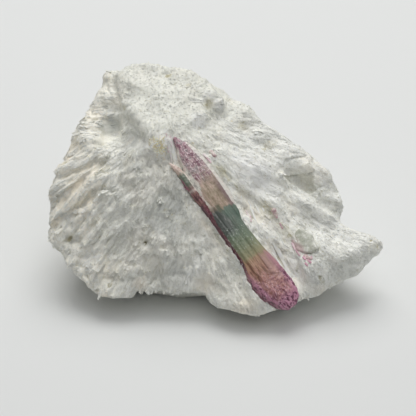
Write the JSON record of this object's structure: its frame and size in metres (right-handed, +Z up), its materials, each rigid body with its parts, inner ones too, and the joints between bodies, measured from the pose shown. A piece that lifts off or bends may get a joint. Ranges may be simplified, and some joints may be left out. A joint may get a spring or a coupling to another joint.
{
  "type": "tourmaline crystal on albite matrix",
  "caption": "Hand-sized broken piece of white bladed albite rock with a colour-banded tourmaline crystal lying in its front face, resting on a flat underside.",
  "frame": {"origin": "middle of the object's box in plan, at the flat underside it rests on", "axes": "+Z up, +X to the right along the rock's longest side, -Y towards the side that shows the crystal"},
  "size_m": [0.0842, 0.062, 0.046],
  "materials": {
    "albite": "matt, sugary and bladed, with small glints",
    "tourmaline": "glassy, banded pink, tan, green and pink along its length",
    "quartz": "glassy, greyish"
  },
  "bodies": {
    "root": {"albite_matrix": "albite", "tourmaline_crystal": "tourmaline", "quartz_grain": "quartz", "pink_crystal_upper": "tourmaline", "pink_crystal_middle": "tourmaline", "pink_crystal_lower": "tourmaline"}
  },
  "joints": []
}
